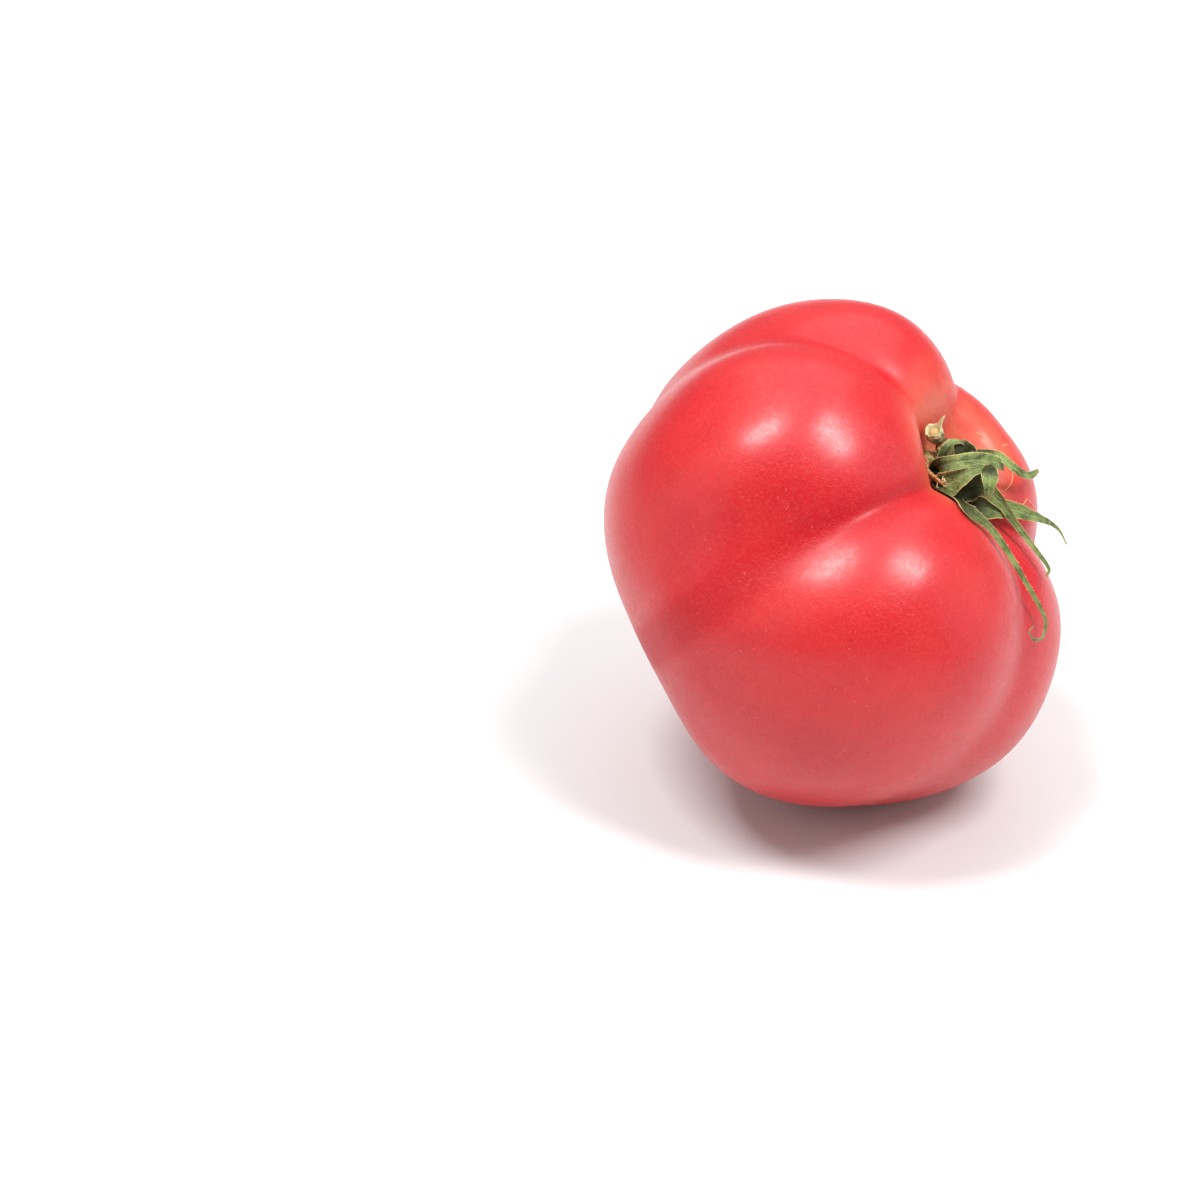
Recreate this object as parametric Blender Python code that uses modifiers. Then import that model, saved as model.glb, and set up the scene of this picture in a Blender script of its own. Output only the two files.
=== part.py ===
"""A pink tomato of the large, lobed kind, lying as it settles on a table.

The fruit, its calyx and the stub of its stalk are three separate pieces. Lengths at the top are
in millimetres and angles in degrees; the objects are made in metres with +Z up. The origin is
the middle of the small flat spot that the fruit rests on.
"""
import bmesh
import bpy
import numpy as np

MM = 0.001

# How the fruit lies: its stem axis leans this far from upright, towards this heading from +X
STEM_TILT = 42.0
STEM_HEADING = -16.0

# The fruit is a ring of swollen lobes round the stem axis. Each is an ellipsoid round the
# fruit's middle: azimuth and elevation of its centre, how far out that centre is, and its half
# sizes outwards, round the fruit, and from stem to tip
LOBES = (
    (-154.0, 8.0, 19.0, 26.0, 27.5, 31.5),
    (-64.0, -2.0, 21.0, 28.0, 29.5, 33.0),
    (-17.0, -4.0, 20.5, 27.5, 25.0, 31.0),
    (51.0, 5.0, 14.5, 21.0, 25.5, 33.0),
    (83.0, 10.0, 16.0, 20.5, 24.0, 31.5),
    (145.0, 7.0, 20.5, 25.5, 23.0, 34.0),
)

# The creases between the lobes are sharp near the stem and melt away towards the tip
CREASE_SHARP = 0.4
CREASE_SOFT = 2.5
CREASE_FADE = (30.0, 120.0)

# One crease, in front, melts away halfway down
SHORT_CREASE_AZIMUTH = -112.0
SHORT_CREASE_WIDTH = 30.0
SHORT_CREASE_EXTRA = 5.0
SHORT_CREASE_FADE = (55.0, 110.0)
SHORT_CREASE_END = (120.0, 168.0)

# The stem cavity has a small flat floor, the blossom end is full, with a dimple at its tip
CAVITY_FLOOR = 25.0
CAVITY_ANGLE = 14.0
BLOSSOM_SWELL = 1.5
BLOSSOM_SWELL_ANGLE = 50.0
DIMPLE_DEPTH = 2.0
DIMPLE_ANGLE = 14.0

# The flesh sags towards the table, and lies flat where it touches
SAG_POLAR = 153.0
SAG_AZIMUTH = 0.0
SAG_HEIGHT = 4.5
SAG_ANGLE = 22.0
FLAT_DEPTH = 2.0
FLAT_CENTRE = (2.0, -5.0)

FRUIT_SEGMENTS = 80
FRUIT_RINGS = 50
RING_CROWDING = 1.2

# Sepals are solid blades that keep clear of the skin
BLADE_THICKNESS = 0.7
BLADE_CLEARANCE = 1.6
BLADE_ACROSS = 4

# A leaning sepal turns its face from the skin towards this direction: angle from the stem axis
# and azimuth
FACING = (57.0, -102.0)

# Each sepal: half widths along it, how far it leans to that direction along it (0 lies flat on
# the skin), how far its edges turn up, the number of steps along it, and its path. A path point
# is the angle from the stem axis, the azimuth, and the distance from the fruit's middle
SEPALS = {
    "arched": ((0.9, 1.0, 0.8, 0.7, 0.7, 0.7, 0.5), (1.0, 0.9, -0.4, -1.2, -1.2), -15.0, 18, (
        (4.2, -105.0, 27.2), (7.6, -113.5, 30.2), (7.9, -125.5, 31.9), (7.1, -134.6, 33.4),
        (5.3, -144.0, 34.1), (1.9, -168.5, 34.1), (3.4, 48.0, 33.5), (9.4, 49.0, 31.9))),
    "long_upper": ((1.0, 1.1, 1.1, 1.0, 0.9, 0.8, 0.7, 0.4), (0.2, 0.6, 0.6, 0.5), 20.0, 22, (
        (6.0, 85.0, 27.0), (7.5, 72.0, 29.2), (10.0, 52.0, 32.0), (10.2, 36.0, 34.6),
        (9.5, 24.0, 36.0), (11.0, 16.0, 36.8), (13.8, 9.7, 37.6), (17.6, 13.1, 38.2),
        (20.8, 20.9, 38.8), (24.5, 31.3, 39.6))),
    "blunt_upper": ((1.1, 1.4, 1.5, 1.45, 1.3, 1.1, 0.8), (0.8, 0.8), 15.0, 18, (
        (5.0, -112.0, 27.0), (10.9, -106.0, 31.0), (10.3, -97.0, 33.2), (8.8, -83.0, 34.8),
        (6.8, -55.0, 35.6), (7.5, -14.0, 36.0), (10.6, 9.0, 36.0), (14.0, 20.0, 35.6))),
    "folded_front": ((1.3, 2.2, 2.4, 1.7, 1.1, 0.6), (0.9, 0.9), 10.0, 14, (
        (5.0, -88.0, 27.0), (13.4, -79.0, 29.2), (13.2, -76.5, 31.4), (12.1, -74.0, 33.2),
        (10.8, -67.5, 34.8), (8.6, -35.0, 36.0))),
    "flap": ((1.0, 1.5, 1.4, 0.9, 0.4), (0.9, 0.9), 12.0, 8, (
        (8.6, -35.5, 36.0), (11.1, -42.0, 36.4), (13.8, -45.5, 36.4), (17.7, -42.0, 35.0))),
    "long_middle": ((1.2, 2.4, 2.6, 1.5, 0.9, 0.8, 0.7, 0.6, 0.4), (1.1, 1.0, 0.7), 20.0, 28, (
        (5.0, -61.0, 27.0), (12.1, -52.0, 29.5), (12.6, -33.0, 33.0), (17.9, -22.0, 34.4),
        (21.9, -16.0, 34.8), (26.2, -14.8, 35.6), (31.2, -14.9, 37.2), (35.3, -15.7, 39.2),
        (39.5, -15.0, 40.9), (40.4, -19.6, 41.2))),
    "long_outer": ((1.3, 2.2, 2.3, 1.9, 1.3, 0.9, 0.6, 0.5, 0.4), (0.9, 0.8, 0.5), 15.0, 26, (
        (5.0, -35.0, 27.0), (15.0, -42.0, 28.6), (19.6, -28.4, 32.2), (22.8, -9.2, 34.8),
        (28.4, 2.8, 37.1), (34.0, 12.0, 38.6), (38.1, 17.0, 39.5), (39.3, 14.3, 40.7),
        (40.0, 7.8, 41.9))),
    "curled_lower": ((1.3, 1.2, 1.0, 0.8, 0.7, 0.6, 0.5, 0.4, 0.4), (0.5, 0.7), 10.0, 36, (
        (5.0, -48.0, 26.9), (14.0, -55.0, 28.6), (24.4, -65.8, 35.4), (27.4, -54.1, 37.2),
        (32.5, -44.7, 38.8), (40.3, -36.0, 41.1), (47.0, -28.6, 42.9), (49.9, -27.4, 43.9),
        (52.8, -30.0, 44.8), (52.9, -35.6, 45.2), (51.0, -39.4, 45.2), (49.8, -37.0, 44.9))),
    "inner_upright": ((0.8, 1.0, 1.8, 2.3, 2.2, 1.2), (0.8, 0.8), 15.0, 14, (
        (8.0, 8.0, 27.0), (8.4, 2.0, 29.2), (6.0, -14.0, 31.4), (3.4, -40.0, 32.9),
        (1.9, -100.0, 33.5), (2.6, -172.0, 33.6))),
}

# The receptacle is a low round pad on the cavity's floor
RECEPTACLE_RADIUS = 3.6
RECEPTACLE_BOTTOM = 26.1
RECEPTACLE_TOP = 28.0

# The stalk's stub: its radius, and its bent path in the same three numbers as a sepal's
STEM_RADIUS = 1.35
STEM_GAP = 0.4
STEM_PATH = (
    (0.0, 0.0, RECEPTACLE_TOP + STEM_GAP), (0.4, 155.0, 29.5), (3.2, 158.0, 30.3),
    (6.4, 163.0, 30.6), (9.0, 170.0, 31.1), (10.8, 178.0, 32.0),
)


def smoothstep(x, low, high):
    """0 below low, 1 above high, and smooth between them"""
    t = np.clip((x - low) / (high - low), 0.0, 1.0)
    return t * t * (3.0 - 2.0 * t)


def direction(polar, azimuth):
    """Unit vectors at an angle from the stem axis and an azimuth round it"""
    p, a = np.radians(polar), np.radians(azimuth)
    return np.stack([np.sin(p) * np.cos(a), np.sin(p) * np.sin(a), np.cos(p)], axis=-1)


def lobe_reach(u, azimuth, elevation, offset, outward, around, along):
    """Distance from the fruit's middle to one lobe's ellipsoid, along each direction u"""
    middle = direction(90.0 - elevation, azimuth)
    side = direction(90.0, azimuth + 90.0)
    up = np.cross(middle, side)
    size = np.array([outward, around, along])
    ray = (u @ np.array([middle, side, up]).T) / size
    centre = np.array([offset / outward, 0.0, 0.0])
    a = (ray ** 2).sum(-1)
    b = ray @ centre
    c = centre @ centre - 1.0
    return (b + np.sqrt(b * b - a * c)) / a


def skin_distance(u):
    """Distance from the fruit's middle to its skin: a soft maximum over the lobes"""
    polar = np.degrees(np.arccos(np.clip(u[..., 2], -1.0, 1.0)))
    azimuth = np.degrees(np.arctan2(u[..., 1], u[..., 0]))
    reach = np.stack([lobe_reach(u, *lobe) for lobe in LOBES], axis=-1)

    soft = CREASE_SHARP + (CREASE_SOFT - CREASE_SHARP) * smoothstep(polar, *CREASE_FADE)
    turn = (azimuth - SHORT_CREASE_AZIMUTH + 180.0) % 360.0 - 180.0
    beside = np.exp(-(turn / SHORT_CREASE_WIDTH) ** 2)
    melt = smoothstep(polar, *SHORT_CREASE_FADE) * (1.0 - smoothstep(polar, *SHORT_CREASE_END))
    soft = soft + SHORT_CREASE_EXTRA * beside * melt
    top = reach.max(-1)
    blend = np.exp((reach - top[..., None]) / soft[..., None]).sum(-1)
    r = top + soft * np.log(blend)

    from_tip = 180.0 - polar
    r = r + BLOSSOM_SWELL * np.exp(-(from_tip / BLOSSOM_SWELL_ANGLE) ** 2)
    floor = CAVITY_FLOOR / np.maximum(np.cos(np.radians(polar)), 0.5)
    r = r + np.exp(-(polar / CAVITY_ANGLE) ** 4) * (floor - r)
    r = r - DIMPLE_DEPTH * np.exp(-(from_tip / DIMPLE_ANGLE) ** 2)
    low = direction(SAG_POLAR, SAG_AZIMUTH)
    from_low = np.degrees(np.arccos(np.clip(u @ low, -1.0, 1.0)))
    return r + SAG_HEIGHT * np.exp(-(from_low / SAG_ANGLE) ** 2)


def turned(points):
    """Points of the upright fruit, turned to the way it lies"""
    t, h = np.radians(STEM_TILT), np.radians(STEM_HEADING)
    lean = np.array([[np.cos(t), 0, np.sin(t)], [0, 1, 0], [-np.sin(t), 0, np.cos(t)]])
    spin = np.array([[np.cos(h), -np.sin(h), 0], [np.sin(h), np.cos(h), 0], [0, 0, 1]])
    return points @ (spin @ lean).T


def lowest_skin():
    """Height of the fruit's lowest point, measured from its middle"""
    polar, azimuth = np.meshgrid(np.arange(90.0, 180.0, 1.0), np.arange(0.0, 360.0, 1.0))
    u = direction(polar, azimuth)
    return turned(u * skin_distance(u)[..., None])[..., 2].min()


MIDDLE_HEIGHT = -lowest_skin() - FLAT_DEPTH


def placed(points):
    """Millimetres round the fruit's middle to metres in the part's frame"""
    shift = np.array([-FLAT_CENTRE[0], -FLAT_CENTRE[1], MIDDLE_HEIGHT])
    return (turned(points) + shift) * MM


def on_path(path):
    """Points of a path given as angle from the stem axis, azimuth and distance"""
    polar, azimuth, distance = np.array(path).T
    return direction(polar, azimuth) * distance[:, None]


def curve_through(points, count):
    """A Catmull-Rom curve through the points, at evenly spaced places along it"""
    ends = np.vstack([2 * points[0] - points[1], points, 2 * points[-1] - points[-2]])
    fine = []
    for p0, p1, p2, p3 in zip(ends, ends[1:], ends[2:], ends[3:]):
        t = np.linspace(0.0, 1.0, 24, endpoint=False)[:, None]
        fine.append(0.5 * (2 * p1 + (p2 - p0) * t + (2 * p0 - 5 * p1 + 4 * p2 - p3) * t ** 2
                           + (3 * p1 - p0 - 3 * p2 + p3) * t ** 3))
    fine = np.vstack(fine + [points[-1:]])
    length = np.concatenate([[0.0], np.cumsum(np.linalg.norm(np.diff(fine, axis=0), axis=1))])
    even = np.linspace(0.0, length[-1], count)
    return np.stack([np.interp(even, length, fine[:, k]) for k in range(3)], axis=-1)


def unit(v):
    return v / np.linalg.norm(v, axis=-1, keepdims=True)


def material(name, colour, roughness):
    """A plain Principled material"""
    mat = bpy.data.materials.new(name)
    mat.use_nodes = True
    shader = mat.node_tree.nodes["Principled BSDF"]
    shader.inputs["Base Color"].default_value = (*colour, 1.0)
    shader.inputs["Roughness"].default_value = roughness
    shader.inputs["Metallic"].default_value = 0.0
    mat.diffuse_color = (*colour, 1.0)
    return mat


def add_object(name, mesh, collection, mat):
    obj = bpy.data.objects.new(name, mesh)
    mesh.materials.clear()
    mesh.materials.append(mat)
    mesh.shade_smooth()
    collection.objects.link(obj)
    return obj


def make_fruit(collection, mat):
    """A sphere with its poles on the stem axis, swollen to the skin and pressed flat below. Its
    rings crowd towards the stem, where the creases are sharpest"""
    bm = bmesh.new()
    bmesh.ops.create_uvsphere(bm, u_segments=FRUIT_SEGMENTS, v_segments=FRUIT_RINGS, radius=1.0)
    ball = unit(np.array([v.co[:] for v in bm.verts]))
    polar = np.degrees(np.arccos(np.clip(ball[:, 2], -1.0, 1.0)))
    azimuth = np.degrees(np.arctan2(ball[:, 1], ball[:, 0]))
    u = direction(180.0 * (polar / 180.0) ** RING_CROWDING, azimuth)
    skin = placed(u * skin_distance(u)[:, None])
    skin[:, 2] = np.maximum(skin[:, 2], 0.0)
    for vert, point in zip(bm.verts, skin):
        vert.co = point
    bmesh.ops.triangulate(bm, faces=bm.faces)
    mesh = bpy.data.meshes.new("fruit")
    bm.to_mesh(mesh)
    bm.free()
    return add_object("fruit", mesh, collection, mat)


def blade_sheet(half_widths, leans, edge_lift, steps, path, across):
    """The middle sheet of a sepal as a grid of points: along it, and across it"""
    line = curve_through(on_path(path), steps + 1)
    s = np.linspace(0.0, 1.0, steps + 1)
    tangent = unit(np.gradient(line, axis=0))
    lean = np.interp(s, np.linspace(0.0, 1.0, len(leans)), leans)[:, None]
    face = unit(line) * (1.0 - lean) + direction(*FACING) * lean
    side = unit(np.cross(tangent, face))
    for _ in range(2):
        side[1:-1] = unit(side[:-2] + 2 * side[1:-1] + side[2:])
    normal = unit(np.cross(side, tangent))
    half = np.interp(s, np.linspace(0.0, 1.0, len(half_widths)), half_widths)[:, None, None]
    c = np.linspace(-1.0, 1.0, across + 1)[None, :, None]
    lift = np.radians(edge_lift)
    sheet = (line[:, None] + side[:, None] * c * half * np.cos(lift)
             + normal[:, None] * c ** 2 * half * np.sin(lift))
    distance = np.linalg.norm(sheet, axis=-1, keepdims=True)
    u = sheet / distance
    return u * np.maximum(distance, skin_distance(u)[..., None] + BLADE_CLEARANCE)


def make_blade(name, spec, collection):
    """A grid laid along its path, split into triangles and given its thickness"""
    steps = spec[3]
    bm = bmesh.new()
    bmesh.ops.create_grid(bm, x_segments=steps, y_segments=BLADE_ACROSS, size=1.0)
    sheet = placed(blade_sheet(*spec, BLADE_ACROSS))
    for vert in bm.verts:
        along = round((vert.co.x + 1.0) / 2.0 * steps)
        across = round((vert.co.y + 1.0) / 2.0 * BLADE_ACROSS)
        vert.co = sheet[along, across]
    bmesh.ops.triangulate(bm, faces=bm.faces)
    mesh = bpy.data.meshes.new(name)
    bm.to_mesh(mesh)
    bm.free()
    obj = bpy.data.objects.new(name, mesh)
    collection.objects.link(obj)
    solid = obj.modifiers.new("thickness", "SOLIDIFY")
    solid.thickness = BLADE_THICKNESS * MM
    solid.offset = 0.0
    return obj


def make_receptacle():
    """The pad that the sepals grow from, a short cone with its axis on the stem's"""
    bm = bmesh.new()
    height = RECEPTACLE_TOP - RECEPTACLE_BOTTOM
    bmesh.ops.create_cone(bm, cap_ends=True, segments=20, radius1=RECEPTACLE_RADIUS,
                          radius2=RECEPTACLE_RADIUS * 0.8, depth=height)
    middle = (RECEPTACLE_TOP + RECEPTACLE_BOTTOM) / 2
    for vert in bm.verts:
        vert.co = placed(np.array(vert.co) + (0.0, 0.0, middle))
    mesh = bpy.data.meshes.new("calyx")
    bm.to_mesh(mesh)
    bm.free()
    return mesh


def apply_modifiers(obj):
    """Replace an object's mesh by the one that its modifiers give"""
    evaluated = obj.evaluated_get(bpy.context.evaluated_depsgraph_get())
    mesh = bpy.data.meshes.new_from_object(evaluated)
    obj.modifiers.clear()
    obj.data = mesh


def keep_outer_body(mesh):
    """Drop every shell but the outermost: pockets that the sepals close off, and loose scraps"""
    bm = bmesh.new()
    bm.from_mesh(mesh)
    shells = []
    left = set(bm.verts)
    while left:
        shell = set()
        front = [left.pop()]
        while front:
            vert = front.pop()
            shell.add(vert)
            for edge in vert.link_edges:
                other = edge.other_vert(vert)
                if other in left:
                    left.remove(other)
                    front.append(other)
        shells.append(shell)
    shells.sort(key=len)
    for shell in shells[:-1]:
        bmesh.ops.delete(bm, geom=list(shell), context="VERTS")
    bm.to_mesh(mesh)
    bm.free()


def make_calyx(collection, mat):
    """The receptacle and its sepals, joined into one body"""
    calyx = add_object("calyx", make_receptacle(), collection, mat)
    blades = bpy.data.collections.new("blades")
    bpy.context.scene.collection.children.link(blades)
    for name, spec in SEPALS.items():
        make_blade(name, spec, blades)
    union = calyx.modifiers.new("sepals", "BOOLEAN")
    union.operation = "UNION"
    union.operand_type = "COLLECTION"
    union.collection = blades
    union.solver = "MANIFOLD"
    apply_modifiers(calyx)
    keep_outer_body(calyx.data)
    for obj in list(blades.objects):
        bpy.data.objects.remove(obj)
    bpy.data.collections.remove(blades)
    return calyx


def make_stem(collection, mat):
    """A round stub along a bent line, thicker at its broken end"""
    line = placed(curve_through(on_path(STEM_PATH), 11))
    curve = bpy.data.curves.new("stem", "CURVE")
    curve.dimensions = "3D"
    curve.bevel_depth = STEM_RADIUS * MM
    curve.bevel_resolution = 3
    curve.use_fill_caps = True
    spline = curve.splines.new("POLY")
    spline.points.add(len(line) - 1)
    swell = np.interp(np.linspace(0, 1, len(line)), (0, 0.3, 0.6, 1), (1.1, 0.9, 0.95, 1.15))
    for point, place, radius in zip(spline.points, line, swell):
        point.co = (*place, 1.0)
        point.radius = radius
    tube = bpy.data.objects.new("stem_line", curve)
    bpy.context.scene.collection.objects.link(tube)
    evaluated = tube.evaluated_get(bpy.context.evaluated_depsgraph_get())
    mesh = bpy.data.meshes.new_from_object(evaluated)
    bpy.data.objects.remove(tube)
    bm = bmesh.new()
    bm.from_mesh(mesh)
    bmesh.ops.remove_doubles(bm, verts=bm.verts, dist=0.00001)
    bm.to_mesh(mesh)
    bm.free()
    return add_object("stem", mesh, collection, mat)


def main():
    for obj in list(bpy.data.objects):
        bpy.data.objects.remove(obj)
    parts = bpy.data.collections.new("pink tomato")
    bpy.context.scene.collection.children.link(parts)
    make_fruit(parts, material("skin", (0.75, 0.07, 0.09), 0.3))
    make_calyx(parts, material("sepal green", (0.10, 0.17, 0.05), 0.6))
    make_stem(parts, material("stalk", (0.22, 0.20, 0.08), 0.7))


main()
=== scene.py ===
# %% [markdown]
# # A pink tomato
# This lesson dresses a plain solid model of a large, lobed tomato: its satin skin with the pale
# marks that thin skin has, its limp green sepals with their hairs, and the broken stub of its
# stalk. The solid model is loaded first as a fixed frame. It says where each piece is and how big
# it is, so every piece made here is worked out from the same measures and lies where the solid is.

import bpy
import numpy as np
from mathutils import Matrix, Vector


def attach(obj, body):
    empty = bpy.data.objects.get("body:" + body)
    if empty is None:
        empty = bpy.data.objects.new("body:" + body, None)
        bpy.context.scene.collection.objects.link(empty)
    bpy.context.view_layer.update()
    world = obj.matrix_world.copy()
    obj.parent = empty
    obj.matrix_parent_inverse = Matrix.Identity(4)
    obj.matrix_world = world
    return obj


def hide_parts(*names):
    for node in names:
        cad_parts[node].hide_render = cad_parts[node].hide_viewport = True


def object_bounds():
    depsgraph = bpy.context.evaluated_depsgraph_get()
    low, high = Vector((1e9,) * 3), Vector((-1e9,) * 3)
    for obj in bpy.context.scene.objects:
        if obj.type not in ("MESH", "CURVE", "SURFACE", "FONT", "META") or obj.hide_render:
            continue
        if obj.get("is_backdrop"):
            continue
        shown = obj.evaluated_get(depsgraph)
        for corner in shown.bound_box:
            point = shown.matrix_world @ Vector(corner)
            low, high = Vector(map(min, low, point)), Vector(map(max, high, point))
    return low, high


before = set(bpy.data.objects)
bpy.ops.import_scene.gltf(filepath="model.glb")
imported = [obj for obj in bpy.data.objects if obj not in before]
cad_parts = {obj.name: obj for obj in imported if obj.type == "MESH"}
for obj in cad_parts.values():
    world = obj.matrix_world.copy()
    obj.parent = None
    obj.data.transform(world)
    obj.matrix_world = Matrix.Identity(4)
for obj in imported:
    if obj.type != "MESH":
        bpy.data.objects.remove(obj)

MM = 0.001
CAD_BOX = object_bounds()
print("solid model, mm:", [[round(v / MM, 1) for v in corner] for corner in CAD_BOX])

# %% [markdown]
# ## How the fruit lies
# A picked tomato rolls until it rests on the heaviest of its lobes, so its stem axis leans. All
# shapes are worked out round that axis first, in millimetres from the fruit's middle, with a
# direction given as the angle from the stem axis and the azimuth round it. One function then
# turns them to the way the fruit lies. That keeps each formula as simple as on an upright fruit.

# %% Directions, and the way the fruit lies
STEM_TILT = 42.0
STEM_HEADING = -16.0


def unit(v):
    """Vectors divided by their own length"""
    return v / np.linalg.norm(v, axis=-1, keepdims=True)


def smoothstep(x, low, high):
    """0 below low, 1 above high, and 3t^2 - 2t^3 between them"""
    t = np.clip((x - low) / (high - low), 0.0, 1.0)
    return t * t * (3.0 - 2.0 * t)


def direction(polar, azimuth):
    """Unit vectors at an angle from the stem axis and an azimuth round it, in degrees"""
    p, a = np.broadcast_arrays(np.radians(polar), np.radians(azimuth))
    return np.stack([np.sin(p) * np.cos(a), np.sin(p) * np.sin(a), np.cos(p)], axis=-1)


def turned(points):
    """Points of the upright fruit, leaned about Y and then spun about Z"""
    t, h = np.radians(STEM_TILT), np.radians(STEM_HEADING)
    lean = np.array([[np.cos(t), 0, np.sin(t)], [0, 1, 0], [-np.sin(t), 0, np.cos(t)]])
    spin = np.array([[np.cos(h), -np.sin(h), 0], [np.sin(h), np.cos(h), 0], [0, 0, 1]])
    return points @ (spin @ lean).T


print("the stem axis points to", turned(direction(0.0, 0.0)).round(2))

# %% [markdown]
# ## The skin's shape
# Seed chambers swell a tomato from inside, so each lobe is nearly a piece of an ellipsoid. A ray
# from the fruit's middle leaves each ellipsoid at a distance that is the root of a quadratic, and
# the skin stands, along any direction, about as far out as the furthest lobe does.

# %% How far each lobe reaches
# Azimuth and elevation of a lobe's middle in degrees; then, in millimetres, how far out its
# ellipsoid is centred, and the ellipsoid's half lengths outwards, round the fruit and along it
LOBES = (
    (-154, 8, 19, 26, 27.5, 31.5),
    (-64, -2, 21, 28, 29.5, 33),
    (-17, -4, 20.5, 27.5, 25, 31),
    (51, 5, 14.5, 21, 25.5, 33),
    (83, 10, 16, 20.5, 24, 31.5),
    (145, 7, 20.5, 25.5, 23, 34),
)


def angles_of(u):
    """The angle from the stem axis and the azimuth of unit vectors, in degrees"""
    polar = np.degrees(np.arccos(np.clip(u[..., 2], -1.0, 1.0)))
    return polar, np.degrees(np.arctan2(u[..., 1], u[..., 0]))


def lobe_reach(u, azimuth, elevation, offset, outward, around, along):
    """Where the ray along u leaves one lobe's ellipsoid: the larger root of a quadratic"""
    middle = direction(90.0 - elevation, azimuth)
    side = direction(90.0, azimuth + 90.0)
    up = np.cross(middle, side)
    ray = (u @ np.array([middle, side, up]).T) / np.array([outward, around, along])
    centre = np.array([offset / outward, 0.0, 0.0])
    a = (ray ** 2).sum(-1)
    b = ray @ centre
    return (b + np.sqrt(b * b - a * (centre @ centre - 1.0))) / a


def lobe_reaches(u):
    """The reach of every lobe along u, in the last axis"""
    return np.stack([lobe_reach(u, *lobe) for lobe in LOBES], axis=-1)


print(len(LOBES), "lobes; the largest reaches", max(lobe[2] + lobe[3] for lobe in LOBES), "mm")

# %% [markdown]
# A plain maximum of the lobes would leave knife-sharp creases, so a soft maximum is taken: the
# logarithm of a sum of exponentials. How soft it is changes from the stem, where creases are
# sharp, to the tip, where they melt away, and the short crease at the front melts sooner. Bell
# curves of an angle then add a swell and a dimple at the tip, sink the cavity round the stem, and
# let the lowest side sag. The same formula gives the distance that every sepal has to keep.

# %% The skin as a distance from the fruit's middle
CREASE_SHARP = 0.4
CREASE_SOFT = 2.5
CREASE_FADE = (30.0, 120.0)
SHORT_CREASE_AZIMUTH = -112.0
SHORT_CREASE_WIDTH = 30.0
SHORT_CREASE_EXTRA = 5.0
SHORT_CREASE_FADE = (55.0, 110.0)
SHORT_CREASE_END = (120.0, 168.0)
CAVITY_FLOOR = 25.0
CAVITY_ANGLE = 14.0
CAVITY_LEAST_COSINE = 0.5
BLOSSOM_SWELL = 1.5
BLOSSOM_SWELL_ANGLE = 50.0
DIMPLE_DEPTH = 2.0
DIMPLE_ANGLE = 14.0
SAG_POLAR = 153.0
SAG_AZIMUTH = 0.0
SAG_HEIGHT = 4.5
SAG_ANGLE = 22.0


def near_short_crease(azimuth, width):
    """A bell curve of the azimuth: 1 at the short crease, fading over the width in degrees"""
    turn = (azimuth - SHORT_CREASE_AZIMUTH + 180.0) % 360.0 - 180.0
    return np.exp(-(turn / width) ** 2)


def skin_distance(u):
    """The soft maximum of the lobes, then the swell, the cavity, the dimple and the sag"""
    polar, azimuth = angles_of(u)
    reach = lobe_reaches(u)
    soft = CREASE_SHARP + (CREASE_SOFT - CREASE_SHARP) * smoothstep(polar, *CREASE_FADE)
    melt = smoothstep(polar, *SHORT_CREASE_FADE) * (1.0 - smoothstep(polar, *SHORT_CREASE_END))
    soft = soft + SHORT_CREASE_EXTRA * near_short_crease(azimuth, SHORT_CREASE_WIDTH) * melt
    top = reach.max(-1)
    r = top + soft * np.log(np.exp((reach - top[..., None]) / soft[..., None]).sum(-1))

    from_tip = 180.0 - polar
    r = r + BLOSSOM_SWELL * np.exp(-(from_tip / BLOSSOM_SWELL_ANGLE) ** 2)
    floor = CAVITY_FLOOR / np.maximum(np.cos(np.radians(polar)), CAVITY_LEAST_COSINE)
    r = r + np.exp(-(polar / CAVITY_ANGLE) ** 4) * (floor - r)
    r = r - DIMPLE_DEPTH * np.exp(-(from_tip / DIMPLE_ANGLE) ** 2)
    low = direction(SAG_POLAR, SAG_AZIMUTH)
    from_low = np.degrees(np.arccos(np.clip(u @ low, -1.0, 1.0)))
    return r + SAG_HEIGHT * np.exp(-(from_low / SAG_ANGLE) ** 2)


print("cavity floor, mm from the middle:", skin_distance(direction(0.0, 0.0)).round(2))

# %% [markdown]
# The frame's origin is the middle of the small flat spot that the fruit rests on. The formula
# gives the skin's lowest point, the spot lies a little above it, and so the fruit's middle follows.

# %% Where the fruit's middle lies
FLAT_DEPTH = 2.0
FLAT_CENTRE = (2.0, -5.0)


def lowest_skin():
    """Height of the skin's lowest point, measured from the fruit's middle"""
    polar, azimuth = np.meshgrid(np.arange(90.0, 180.0, 1.0), np.arange(0.0, 360.0, 1.0))
    u = direction(polar, azimuth)
    return turned(u * skin_distance(u)[..., None])[..., 2].min()


MIDDLE = np.array([-FLAT_CENTRE[0], -FLAT_CENTRE[1], -lowest_skin() - FLAT_DEPTH])


def placed(points):
    """Millimetres round the fruit's middle to metres in the frame"""
    return (turned(points) + MIDDLE) * MM


print("fruit's middle, mm:", MIDDLE.round(2))
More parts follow.
